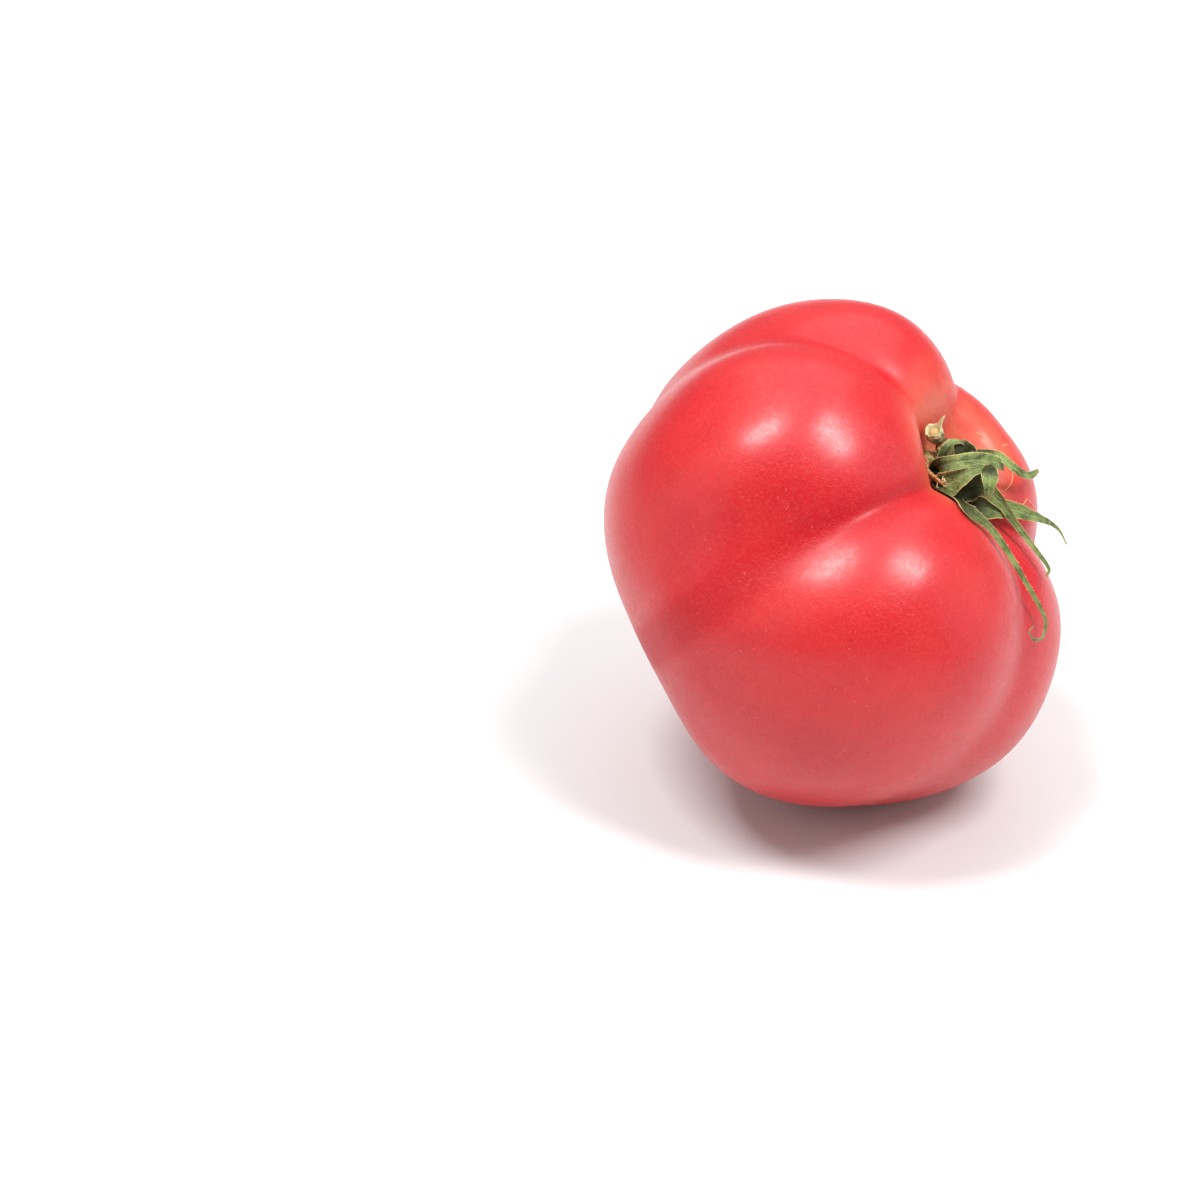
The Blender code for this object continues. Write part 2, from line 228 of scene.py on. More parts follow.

# %% [markdown]
# ## From a grid of points to a mesh
# Nearly every piece here is a closed tube or ball: rings of points, one after another, with each
# end drawn together in a single point. One helper joins the rings with four-sided faces and closes
# both ends with fans of triangles. It also writes a UV map, with u along the piece and v round it.
# Each piece is then given its finish and hung on the body it rides on, and the solid that it
# replaces in the picture is hidden.

# %% Rings of points to a closed mesh
def ring_corners(rings, around):
    """Ring and place of each face's corners, also in the end fans, where the end point is third"""
    grid = np.stack(np.meshgrid(np.arange(rings - 1), np.arange(around), indexing="ij"), -1)
    quads = grid[:, :, None] + np.array([(0, 0), (0, 1), (1, 1), (1, 0)])
    first = grid[0, :, None] + np.array([(0, 1), (0, 0), (0, 0.5)])
    last = grid[-1, :, None] + np.array([(1, 0), (1, 1), (1, 0.5)])
    return quads.reshape(-1, 4, 2), first, last


def ring_faces(corners, rings, around):
    """A corner's point is its ring times the number round, plus its place; the ends come last"""
    quads, first, last = ((c[..., 0] * around + c[..., 1] % around).astype(int) for c in corners)
    first[:, 2] = rings * around
    last[:, 2] = rings * around + 1
    return quads.tolist() + first.tolist() + last.tolist()


def in_scene(name, mesh):
    """A new object of the scene that holds the mesh, at the origin"""
    obj = bpy.data.objects.new(name, mesh)
    bpy.context.scene.collection.objects.link(obj)
    return obj


def closed_piece(name, rings, ends, attributes=None):
    """An object from rings of points (rings, around, 3) and two end points, in millimetres round
    the fruit's middle; what would go below the ground is pressed flat on it"""
    count, around = rings.shape[:2]
    corners = ring_corners(count, around)
    points = placed(np.vstack([rings.reshape(-1, 3), ends]))
    points[:, 2] = np.maximum(points[:, 2], 0.0)
    mesh = bpy.data.meshes.new(name)
    mesh.from_pydata(points.tolist(), [], ring_faces(corners, count, around))
    uvs = np.concatenate([(c / (count - 1, around)).ravel() for c in corners])
    mesh.uv_layers.new(name="along").data.foreach_set("uv", uvs)
    for key, values in (attributes or {}).items():
        store = mesh.attributes.new(key, "FLOAT", "POINT")
        at_ends = [values[0].mean(), values[-1].mean()]
        store.data.foreach_set("value", np.append(values.ravel(), at_ends).astype(np.float32))
    mesh.shade_smooth()
    return in_scene(name, mesh)


def hand_in(obj, node, finish):
    """Give a piece its finish, hang it on the root body, and hide the solid that it stands for"""
    obj.data.materials.append(finish.material)
    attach(obj, "root")
    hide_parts(node)
    print(obj.name, "has", sum(len(p.vertices) - 2 for p in obj.data.polygons), "triangles")


# %% [markdown]
# ## Shader maths that reads like maths
# A node tree is hard to read as a list of links. A small class wraps one output socket and gives
# it the usual operators, so a mask is written as `1 - spots * patches` and each operator adds its
# own Math node.

# %% A socket with operators
class Socket:
    """One output of a node, with arithmetic that adds Math nodes"""

    def __init__(self, tree, socket):
        self.tree = tree
        self.socket = socket

    def math(self, operation, *others):
        """A Math node whose values are this socket and the others, in that order"""
        return self.tree.add("ShaderNodeMath", {"operation": operation},
                             dict(enumerate((self, *others))))

    def __add__(self, other):
        return self.math("ADD", other)

    def __mul__(self, other):
        return self.math("MULTIPLY", other)

    __radd__ = __add__
    __rmul__ = __mul__

    def __sub__(self, other):
        return self.math("SUBTRACT", other)

    def __rsub__(self, other):
        return (self * -1.0).math("ADD", other)

    def __abs__(self):
        return self.math("ABSOLUTE")

    def ramp(self, low, high, start=0.0, end=1.0):
        """start below low, end above high, and a smooth step between them"""
        return self.tree.add("ShaderNodeMapRange", {"interpolation_type": "SMOOTHSTEP"}, {
            "Value": self, "From Min": low, "From Max": high, "To Min": start, "To Max": end})


# %% [markdown]
# Every other node comes from one method that takes its type, its settings and the values of its
# sockets. Colours are mixed with Mix nodes, because a Math node makes them grey. A finish is then
# mostly a list of layers: a colour, and the mask through which it is laid over what is below.

# %% A material and its tree
MIX_FACTOR, MIX_ONE, MIX_TWO, MIX_COLOUR = 0, 6, 7, 2


class Finish:
    """A material with a Principled shader, and the helpers that fill its tree"""

    def __init__(self, name, **constants):
        self.material = bpy.data.materials.new(name)
        self.material.use_nodes = True
        self.nodes = self.material.node_tree.nodes
        self.links = self.material.node_tree.links
        self.shader = self.nodes["Principled BSDF"]
        self.feed(**constants)

    def put(self, target, value):
        """Link a Socket to the target, or give the target a plain value"""
        if isinstance(value, Socket):
            self.links.new(value.socket, target)
        else:
            target.default_value = value

    def add(self, kind, settings=None, inputs=None, output=0):
        """A node of this kind: its settings first, then values or links for its sockets"""
        node = self.nodes.new(kind)
        for key, value in (settings or {}).items():
            setattr(node, key, value)
        for key, value in (inputs or {}).items():
            self.put(node.inputs[key], value)
        return Socket(self, node.outputs[output])

    def place(self):
        """Object coordinates, in metres"""
        return self.add("ShaderNodeTexCoord", output="Object")

    def uv(self):
        """u along a piece and v round it"""
        where = self.add("ShaderNodeTexCoord", output="UV")
        return [self.add("ShaderNodeSeparateXYZ", {}, {0: where}, output=k) for k in (0, 1)]

    def attribute(self, name):
        """The number that the mesh keeps at its points under this name"""
        return self.add("ShaderNodeAttribute", {"attribute_name": name}, {}, output="Fac")

    def noise(self, where, scale, detail=2.0, roughness=0.6):
        """Smooth noise round 0.5; the scale is about the number of patches a metre"""
        return self.add("ShaderNodeTexNoise", {}, {
            "Vector": where, "Scale": scale, "Detail": detail, "Roughness": roughness}, output="Fac")

    def layered(self, base, *layers):
        """Colours laid over a base one after another, each through its own mask"""
        for mask, colour in layers:
            base = self.add("ShaderNodeMix", {"data_type": "RGBA"},
                            {MIX_FACTOR: mask, MIX_ONE: base, MIX_TWO: colour}, MIX_COLOUR)
        return base

    def bump(self, height, distance, strength, below=None):
        """A Bump node; height in shares of the distance, which is in metres"""
        inputs = {"Height": height, "Distance": distance, "Strength": strength}
        if below is not None:
            inputs["Normal"] = below
        return self.add("ShaderNodeBump", {}, inputs)

    def feed(self, **sockets):
        """Values or links for the shader's own sockets, with _ for each space in a name"""
        for key, value in sockets.items():
            self.put(self.shader.inputs[key.replace("_", " ")], value)


def rgb(red, green, blue):
    """A linear colour, with its alpha"""
    return (red, green, blue, 1.0)


# %% [markdown]
# ## The fruit's surface
# Real skin isn't as even as the formula, so low waves, some 15 to 25 mm long and a few tenths of a
# millimetre high, are added as a sum of sines of the direction. They bend the highlights as they
# bend on a real fruit. The finish also needs to know where a crease is, to paint shade there and
# to weaken the gloss: where the two furthest lobes reach nearly as far as each other.

# %% Low waves, and how deep in a crease a point lies
# Each wave's direction and steepness, its phase, and its height in millimetres
WAVES = (
    ((9.1, 3.3, -5.2), 0.4, 0.16),
    ((-4.7, 8.9, 6.1), 1.9, 0.15),
    ((6.3, -9.8, 7.7), 3.2, 0.11),
    ((-11.2, -5.9, 8.8), 5.1, 0.09),
    ((14.6, 10.3, -12.1), 2.6, 0.05),
)
WAVES_START = (24.0, 45.0)
CREASE_NEAR = 4.5
CREASE_SPREAD = 38.0
CREASE_ELSEWHERE = 0.35


def low_waves(u):
    """A sum of sines along five directions, in millimetres; nothing in the stem cavity"""
    polar, _ = angles_of(u)
    total = sum(high * np.sin(u @ np.array(along) + phase) for along, phase, high in WAVES)
    return total * smoothstep(polar, *WAVES_START)


def crease_depth(u):
    """A bell curve of the difference between the two furthest lobes: 1 in the short crease, and
    about a third of that far from it"""
    reach = np.sort(lobe_reaches(u), axis=-1)
    _, azimuth = angles_of(u)
    beside = near_short_crease(azimuth, CREASE_SPREAD)
    beside = CREASE_ELSEWHERE + (1.0 - CREASE_ELSEWHERE) * beside
    return beside * np.exp(-((reach[..., -1] - reach[..., -2]) / CREASE_NEAR) ** 2)


# %% [markdown]
# The fruit is one closed surface: rings of points round the stem axis, each point as far out as
# the skin formula says. Rings crowd towards the stem, where creases are sharp. Two numbers are
# kept at each point for the finish: how near the stem it is, and how deep in a crease it lies.

# %% The fruit
FRUIT_RINGS = 218
FRUIT_AROUND = 440
RING_CROWDING = 1.25


def fruit_piece():
    """Rings at angle 180 * s^crowding from the stem axis, each point at the skin's distance"""
    s = (np.arange(FRUIT_RINGS) + 1.0) / (FRUIT_RINGS + 1.0)
    polar, azimuth = np.meshgrid(180.0 * s ** RING_CROWDING,
                                 np.arange(FRUIT_AROUND) * 360.0 / FRUIT_AROUND, indexing="ij")
    u = direction(polar, azimuth)
    skin = u * (skin_distance(u) + low_waves(u))[..., None]
    poles = np.array([[0.0, 0.0, 1.0], [0.0, 0.0, -1.0]])
    ends = poles * skin_distance(poles)[..., None]
    values = {"from_stem": polar / 180.0, "crease": crease_depth(u)}
    return closed_piece("fruit_skin", skin, ends, values)


fruit = fruit_piece()
print("the fruit measures, mm:", [round(size / MM, 1) for size in fruit.dimensions])

# %% [markdown]
# ## The skin's finish
# Pink tomatoes have a clear skin over red flesh, so light goes a little way in and comes back, as
# subsurface scattering. Over the red lie a slow mottling, a fine one, and short pale worm-like
# marks where the stretched skin has tiny cracks: the places where a noise crosses its middle
# value, cut short by a second noise. The creases, the short one most, carry painted shade: a
# deeper red. Round the stem the skin turns orange and then cream. The gloss is a clear coat,
# weaker in the creases and on the marks, and finely uneven, so that the highlights aren't smooth.

# %% Skin finish
PINK = rgb(0.50, 0.002, 0.010)
CORAL = rgb(0.57, 0.013, 0.016)
CRIMSON = rgb(0.38, 0.001, 0.007)
PALE_MARK = rgb(0.78, 0.13, 0.10)
STEM_ORANGE = rgb(0.76, 0.17, 0.085)
STEM_CREAM = rgb(0.66, 0.38, 0.15)
# Scales of the patterns, in patches a metre: 38 is one in 26 mm, and 2050 one in half a millimetre
MOTTLE_SCALE = 38.0
PATCH_SCALE = 150.0
FINE_SCALE = 1100.0
WORM_SCALE = 2050.0
CUT_SCALE = 1550.0
SPECK_SCALE = 620.0
PEEL_SCALE = 850.0
SWELL_SCALE = 130.0
PEEL_HEIGHT = 0.00005
SWELL_HEIGHT = 0.00045


def worm_marks(finish, where):
    """1 where one noise is near its middle value and a second one is high"""
    worms = abs(finish.noise(where, WORM_SCALE, 0.0) - 0.5).ramp(0.0, 0.12, 1.0, 0.0)
    return worms * finish.noise(where, CUT_SCALE, 0.0).ramp(0.37, 0.55)


def skin_finish():
    """Layers of colour through masks, one bump over another, and a coat of varying weight"""
    finish = Finish("tomato skin", Subsurface_Weight=0.10, Subsurface_Scale=0.003,
                    Subsurface_Radius=(1.0, 0.25, 0.2), IOR=1.37, Coat_Roughness=0.27)
    where = finish.place()
    slow = finish.noise(where, MOTTLE_SCALE, 2.0, 0.5)
    patchy = finish.noise(where, PATCH_SCALE)
    fine = finish.noise(where, FINE_SCALE, 1.0)
    peel = finish.noise(where, PEEL_SCALE, 1.0)
    swell = finish.noise(where, SWELL_SCALE, 1.0, 0.5)
    from_stem = finish.attribute("from_stem")
    crease = finish.attribute("crease")
    marks = worm_marks(finish, where)
    from_point = finish.add("ShaderNodeTexVoronoi", {}, {"Vector": where, "Scale": SPECK_SCALE},
                            output="Distance")
    specks = from_point.ramp(0.07, 0.16, 1.0, 0.0)
    uneven = patchy.ramp(0.25, 0.65, 0.4, 1.0)

    base = finish.layered(
        PINK,
        (slow.ramp(0.35, 0.68), CORAL),
        (patchy.ramp(0.45, 0.75, 0.0, 0.25), CRIMSON),
        (fine.ramp(0.35, 0.7, 0.0, 0.30), CORAL),
        # painted shade: the creases, the short one most, are darkened towards crimson
        (crease.ramp(0.1, 1.0, 0.0, 0.45), CRIMSON),
        (marks * 0.10, PALE_MARK),
        (specks * patchy.ramp(0.50, 0.60) * 0.35, PALE_MARK),
        (from_stem.ramp(0.07, 0.17, 0.70, 0.0) * uneven, STEM_ORANGE),
        (from_stem.ramp(0.035, 0.075, 0.8, 0.0), STEM_CREAM),
    )
    normal = finish.bump(swell, SWELL_HEIGHT, 0.45)
    normal = finish.bump(peel * 1.2 + marks * 0.6, PEEL_HEIGHT, 0.8, normal)
    rough = fine.ramp(0.3, 0.7, 0.42, 0.49) + from_stem.ramp(0.10, 0.22, 0.15, 0.0)
    gloss = crease.ramp(0.1, 0.7, 0.56, 0.16) * (1 - marks * 0.3) * peel.ramp(0.3, 0.7, 0.8, 1.15)
    finish.feed(Base_Color=base, Roughness=rough, Coat_Weight=gloss, Normal=normal)
    return finish


hand_in(fruit, "fruit", skin_finish())

# %% [markdown]
# ## Curves to carry a section along
# Sepals, stalk and strands are cross sections carried along a path. A path is a short list of
# given places, each an angle from the stem axis, an azimuth and a distance from the
# fruit's middle, and a smooth curve runs through them.

# %% Paths and curves
CURVE_STEPS = 40


def on_path(path):
    """Points of a path given as angle from the stem axis, azimuth and distance"""
    polar, azimuth, distance = np.array(path).T
    return direction(polar, azimuth) * distance[:, None]


def curve_through(points, count):
    """A Catmull-Rom curve through the points, at evenly spaced places along it"""
    ends = np.vstack([2 * points[0] - points[1], points, 2 * points[-1] - points[-2]])
    p0, p1, p2, p3 = (ends[k:len(ends) - 3 + k][:, None] for k in range(4))
    t = np.linspace(0.0, 1.0, CURVE_STEPS, endpoint=False)[None, :, None]
    fine = 0.5 * (2 * p1 + (p2 - p0) * t + (2 * p0 - 5 * p1 + 4 * p2 - p3) * t ** 2
                  + (3 * p1 - p0 - 3 * p2 + p3) * t ** 3)
    fine = np.vstack([fine.reshape(-1, 3), points[-1:]])
    length = np.concatenate([[0.0], np.cumsum(np.linalg.norm(np.diff(fine, axis=0), axis=1))])
    even = np.linspace(0.0, length[-1], count)
    return np.stack([np.interp(even, length, fine[:, k]) for k in range(3)], axis=-1)


def eased(values, s):
    """A list of values spread evenly over 0 to 1, read at s with smooth steps between them"""
    values = np.asarray(values, dtype=float)
    place = np.clip(s, 0.0, 1.0) * (len(values) - 1)
    low = np.minimum(place.astype(int), len(values) - 2)
    t = smoothstep(place - low, 0.0, 1.0)
    return values[low] * (1.0 - t) + values[low + 1] * t


def smoothed(v, times):
    """Neighbouring rows averaged, 1-2-1, with the first and last kept"""
    for _ in range(times):
        v[1:-1] = (v[:-2] + 2 * v[1:-1] + v[2:]) / 4
    return v


def round_angles(count):
    """The angles of one full turn, evenly spaced, as a row"""
    return np.arange(count)[None, :] * 2 * np.pi / count


# %% [markdown]
# ## Sepals as sheets along a path
# A tomato's sepals are thin leaves, limp soon after picking. Each is worked out as a path, which
# is the sepal's midrib, with a cross section carried along it. Its face looks away from the skin,
# or leans from there towards the open side of the cavity.

# %% A sepal's midrib
FACING = (57.0, -102.0)
STEPS_PER_MM = 3.2
LEAST_STEPS = 24
LENGTH_STEPS = 50
SIDE_SMOOTHING = 8


def midrib(path, leans):
    """Even points of the path, the directions across the sheet and out of its face, the share of
    the length at each point, and the length; a lean of 1 turns the face to the open side"""
    points = on_path(path)
    length = np.linalg.norm(np.diff(curve_through(points, LENGTH_STEPS), axis=0), axis=1).sum()
    count = max(LEAST_STEPS, int(length * STEPS_PER_MM))
    line = smoothed(curve_through(points, count), 3)
    s = np.linspace(0.0, 1.0, count)[:, None]
    tangent = unit(np.gradient(line, axis=0))
    lean = np.interp(s, np.linspace(0.0, 1.0, len(leans)), leans)
    face = unit(line) * (1.0 - lean) + direction(*FACING) * lean
    side = unit(smoothed(unit(np.cross(tangent, face)), SIDE_SMOOTHING))
    return line, side, unit(np.cross(side, tangent)), s, length


# %% [markdown]
# The section is a thin lens bent into a shallow gutter, with a groove over the midrib, a ridge
# under it, and lengthwise folds. It is walked round by an angle: the cosine is the place across
# the sheet, and the sine says how far above or below the middle sheet the surface is. Each edge
# has its own small teeth.

# %% A sepal's cross section
# Each wave of the teeth: its length in millimetres over 2 pi, and its share of the depth
TEETH = ((1.9, 1.0), (0.83, 0.6))
SHARP_TEETH = (0.62, 0.5)
TOOTH_DEPTH = 0.055
OTHER_EDGE = 50
FOLD_SEED = 9
FOLD_HEIGHT = 0.16
RIPPLE_HEIGHT = 0.10
GROOVE_DEPTH = 0.22
GROOVE_WIDTH = 0.13
FOLDED_HALF_WIDTHS = (0.5, 1.6)


def edge_teeth(mm, seed):
    """Depth times a sum of sines of the length with seeded phases, the last folded to points"""
    phases = np.random.default_rng(seed).uniform(0.0, 2 * np.pi, 3)
    wave = sum(share * np.sin(mm / step + phase) for (step, share), phase in zip(TEETH, phases))
    step, share = SHARP_TEETH
    return TOOTH_DEPTH * (wave + share * np.abs(np.sin(mm / step + phases[2])))


def sheet_section(mm, half, edge_lift, seed, across):
    """How far the middle sheet is out to the side: the cosine times the half width, with teeth.
    How far up: a gutter with the square of the cosine, two waves of folds, less the groove"""
    left = edge_teeth(mm, seed) * smoothstep(-across, 0.3, 1.0)
    right = edge_teeth(mm, seed + OTHER_EDGE) * smoothstep(across, 0.3, 1.0)
    out = across * half * (1.0 + (left + right) * smoothstep(half, 0.3, 1.0))
    lift = np.radians(edge_lift)
    up = across ** 2 * half * np.sin(lift)
    long, short = np.random.default_rng(seed + FOLD_SEED).uniform(0.0, 2 * np.pi, 2)
    wide = smoothstep(half, *FOLDED_HALF_WIDTHS)
    up = up + FOLD_HEIGHT * wide * np.sin(across * 5.2 + 0.22 * mm + long) * np.abs(across)
    up = up + RIPPLE_HEIGHT * wide * np.sin(mm / 1.3 + short + 2.0 * across) * across ** 2
    up = up - GROOVE_DEPTH * wide * np.exp(-(across / GROOVE_WIDTH) ** 2)
    return out * np.cos(lift), up


# %% [markdown]
# Where the sheet would sink into the fruit it is pushed out to just above the skin, which is how a
# limp sepal lies on its tomato. Then the lens gives it its thickness.

# %% A whole sepal
SEPAL_AROUND = 36
SEPAL_THICKNESS = 0.42
TIP_THICKNESS = 0.35
THICK_HALF_WIDTHS = (0.15, 1.2)
RIB_EXTRA = 0.8
RIB_WIDTH = 0.16
SHEET_CLEARANCE = 0.75
ROOT_LENGTH = 3.0
ROOT_CLOSE = 0.3
TIP_CLOSE = 0.6


def clear_of_skin(points, clearance):
    """Points moved outwards to at least the skin's distance plus the clearance"""
    distance = np.linalg.norm(points, axis=-1, keepdims=True)
    u = points / distance
    return u * np.maximum(distance, (skin_distance(u) + clearance)[..., None])


def sepal_rings(half_widths, leans, edge_lift, path, seed):
    """The middle sheet plus half the thickness times the sine of the angle, along the normal;
    in millimetres round the fruit's middle"""
    line, side, normal, s, length = midrib(path, leans)
    mm = s * length
    half = eased(half_widths, s)
    angle = round_angles(SEPAL_AROUND)
    across, above = np.cos(angle), np.sin(angle)
    out, up = sheet_section(mm, half, edge_lift, seed, across)
    sheet = line[:, None] + side[:, None] * out[..., None] + normal[:, None] * up[..., None]
    sheet = clear_of_skin(sheet, SHEET_CLEARANCE * smoothstep(mm, 0.0, ROOT_LENGTH))

    share = TIP_THICKNESS + (1.0 - TIP_THICKNESS) * smoothstep(half, *THICK_HALF_WIDTHS)
    rib = 1.0 + RIB_EXTRA * (above < 0) * np.exp(-(across / RIB_WIDTH) ** 2)
    body = SEPAL_THICKNESS * share / 2 * above * rib
    return sheet + normal[:, None] * body[..., None]


def sepal_piece(name, rings):
    """The rings, closed by a point a part of a step beyond the first and the last"""
    middle = rings.mean(1)
    start = middle[0] - (middle[1] - middle[0]) * ROOT_CLOSE
    end = middle[-1] + (middle[-1] - middle[-2]) * TIP_CLOSE
    return closed_piece("sepal_" + name, rings, [start, end])


# %% [markdown]
# Each sepal's list gives its half widths from root to tip, how far its face leans from root to
# tip, how many degrees its edges turn up, its path, and the seed of its teeth and folds. The flap
# is the folded tip of the front sepal, made as a blade of its own.

# %% All the sepals
SEPALS = {
    "arched": ((0.9, 1, 0.8, 0.65, 0.6, 0.6, 0.45), (1, 0.9, -0.4, -1.2, -1.2), -15, (
        (4.2, -105, 27.2), (7.6, -113.5, 30.2), (7.9, -125.5, 31.9), (7.1, -134.6, 33.4),
        (5.3, -144, 34.1), (1.9, -168.5, 34.1), (3.4, 48, 33.5), (9.4, 49, 31.9)), 1),
    "long_upper": ((1, 1.1, 1.1, 1, 0.9, 0.8, 0.7, 0.4), (0.2, 0.6, 0.6, 0.5), 20, (
        (6, 85, 27), (7.5, 72, 29.2), (10, 52, 32), (10.2, 36, 34.6),
        (9.5, 24, 36), (11, 16, 36.8), (13.8, 9.7, 37.6), (17.6, 13.1, 38.2),
        (20.8, 20.9, 38.8), (24.5, 31.3, 39.6)), 2),
    "blunt_upper": ((1.1, 1.4, 1.5, 1.45, 1.3, 1.1, 0.8), (0.8, 0.8), 15, (
        (5, -112, 27), (10.9, -106, 31), (10.3, -97, 33.2), (8.8, -83, 34.8),
        (6.8, -55, 35.6), (7.5, -14, 36), (10.6, 9, 36), (14, 20, 35.6)), 3),
    "folded_front": ((1.3, 2.3, 2.5, 1.7, 1, 0.4), (0.9, 0.9), 10, (
        (5, -88, 27), (13.4, -79, 29.2), (13.2, -76.5, 31.4), (12.1, -74, 33.2),
        (10.8, -67.5, 34.8), (8.6, -35, 36)), 4),
    "flap": ((1, 1.5, 1.4, 0.9, 0.4), (0.9, 0.9), 12, (
        (8.6, -35.5, 36), (11.1, -42, 36.4), (13.8, -45.5, 36.4), (17.7, -42, 35)), 5),
    "long_middle": ((1.2, 2.3, 2.5, 1.4, 0.85, 0.65, 0.52, 0.42, 0.3), (1.1, 1, 0.7), 20, (
        (5, -61, 27), (12.1, -52, 29.5), (12.6, -33, 33), (17.9, -22, 34.4),
        (21.9, -16, 34.8), (26.2, -14.8, 35.6), (31.2, -14.9, 37.2), (35.3, -15.7, 39.2),
        (39.5, -15, 40.9), (40.4, -19.6, 41.2)), 6),
    "long_outer": ((1.3, 2.2, 2.3, 1.9, 1.3, 0.9, 0.6, 0.4, 0.15), (0.9, 0.8, 0.5), 15, (
        (5, -35, 27), (15, -42, 28.6), (19.6, -28.4, 32.2), (22.8, -9.2, 34.8),
        (28.4, 2.8, 37.1), (34, 12, 38.6), (38.1, 17, 39.5), (39.3, 14.3, 40.7),
        (40, 7.8, 41.9)), 7),
    "curled_lower": ((1.3, 1.7, 1.35, 0.72, 0.58, 0.46, 0.36, 0.25, 0.12), (0.5, 0.7), 10, (
        (5, -48, 26.9), (14, -55, 28.6), (24.4, -65.8, 35.4), (27.4, -54.1, 37.2),
        (32.5, -44.7, 38.8), (40.3, -36, 41.1), (47, -28.6, 42.9), (49.9, -27.4, 43.9),
        (52.8, -30, 44.8), (52.9, -35.6, 45.2), (51, -39.4, 45.2), (49.8, -37, 44.9)), 8),
    # This blade stands inside the hood and fills its hollow; its finish paints the hollow's shade
    # over its whole length
    "inner_upright": ((0.8, 1, 1.8, 2.3, 2.2, 1.2), (0.8, 0.8), 15, (
        (8, 8, 27), (8.4, 2, 29.2), (6, -14, 31.4), (3.4, -40, 32.9),
        (1.9, -100, 33.5), (2.6, -172, 33.6)), 10),
}
sepal_shapes = {name: sepal_rings(*spec) for name, spec in SEPALS.items()}
sepals = {name: sepal_piece(name, rings) for name, rings in sepal_shapes.items()}
print(len(sepals), "blades with", sum(map(len, sepal_shapes.values())), "rings in all")

# %% [markdown]
# ## The sepals' finish
# A limp sepal is olive green, paler along its midrib and side veins, and yellow-brown where its
# edge and tip have dried. Its root lies deep in the cavity, and painted shade darkens it there to
# nearly black. The blade that stands inside the others carries that painted shade all over. In the
# UV map u runs from root to tip, and v goes round the section, so its cosine is the place across.

# %% Sepal finish
LEAF = rgb(0.20, 0.265, 0.072)
LEAF_DARK = rgb(0.055, 0.080, 0.015)
LEAF_PALE = rgb(0.42, 0.49, 0.22)
# Painted shade: the colour a sepal's root takes in the shade of the cavity
PAINTED_ROOT_SHADE = rgb(0.024, 0.026, 0.005)
DRY_EDGE = rgb(0.58, 0.46, 0.17)
DRY_TIP = rgb(0.38, 0.20, 0.08)
LEAF_BLOTCH_SCALE = 420.0
LEAF_GRAIN_SCALE = 2600.0
STREAKS_ACROSS = 3.5
STREAKS_ALONG = 7.0
STREAK_SCALE = 2.2
VEINS_ALONG = 46.0
VEINS_SLANT = 5.0
# Painted shade of the cavity on the sepal roots: the length of its fade, and where it ends on open
# blades and on the blade inside the hood, as shares of the length
ROOT_SHADE_FADE = 0.26
LEAF_RELIEF = 0.00030
VEIN_RELIEF = 0.00012
OPEN_ROOT_SHADE_END = 0.46
INNER_BLADE_SHADE_END = 1.30


def sepal_finish(name, shade_end):
    """Layers of colour over masks of the place along and across; the painted root shade is gone at
    the share of the length that shade_end gives. Side veins are a sine of both places"""
    finish = Finish(name, Subsurface_Weight=0.05, Subsurface_Scale=0.0008,
                    Subsurface_Radius=(0.4, 1.0, 0.2), Specular_IOR_Level=0.3)
    along, around = finish.uv()
    across = (around * (2 * np.pi)).math("COSINE")
    where = finish.place()
    blotch = finish.noise(where, LEAF_BLOTCH_SCALE)
    grain = finish.noise(where, LEAF_GRAIN_SCALE, 2.0, 0.65)
    stretched = finish.add("ShaderNodeCombineXYZ", {}, {
        0: across * STREAKS_ACROSS, 1: along * STREAKS_ALONG})
    streaks = finish.noise(stretched, STREAK_SCALE)
    rib = abs(across).ramp(0.03, 0.16, 1.0, 0.0)
    veins = (abs(across) * VEINS_SLANT - along * VEINS_ALONG).math("SINE").ramp(0.75, 1.0) * 0.5
    edge = abs(across).ramp(0.86, 0.985)

    base = finish.layered(
        LEAF_DARK,
        (blotch.ramp(0.35, 0.66), LEAF),
        (streaks.ramp(0.45, 0.72, 0.0, 0.35), LEAF_PALE),
        (rib * 0.35 + veins * 0.30, LEAF_PALE),
        (grain.ramp(0.45, 0.8, 0.0, 0.35), LEAF_PALE),
        # painted shade: the root is darkened towards black-green as the cavity's shade
        (along.ramp(shade_end - ROOT_SHADE_FADE, shade_end, 0.95, 0.0), PAINTED_ROOT_SHADE),
        (edge * blotch.ramp(0.3, 0.55, 0.35, 1.0), DRY_EDGE),
        (along.ramp(0.93, 1.0) * 0.9, DRY_TIP),
    )
    normal = finish.bump(streaks + grain * 0.35, LEAF_RELIEF, 0.75)
    normal = finish.bump(1 - veins * 1.4, VEIN_RELIEF, 0.5, normal)
    finish.feed(Base_Color=base, Roughness=grain.ramp(0.3, 0.7, 0.52, 0.72), Normal=normal)
    return finish


# Open blades get the painted root shade over part of their length; the blade inside the hood gets it
# all over
leaf = sepal_finish("limp sepal", OPEN_ROOT_SHADE_END)
shaded_leaf = sepal_finish("shaded sepal", INNER_BLADE_SHADE_END)
for name, obj in sepals.items():
    hand_in(obj, "calyx", shaded_leaf if name == "inner_upright" else leaf)

# %% [markdown]
# ## The receptacle
# The sepals grow from a low round pad at the top of the stem cavity. It is a turned shape: a
# profile of radius and height, carried round the stem axis, with nine soft ridges round its rim.

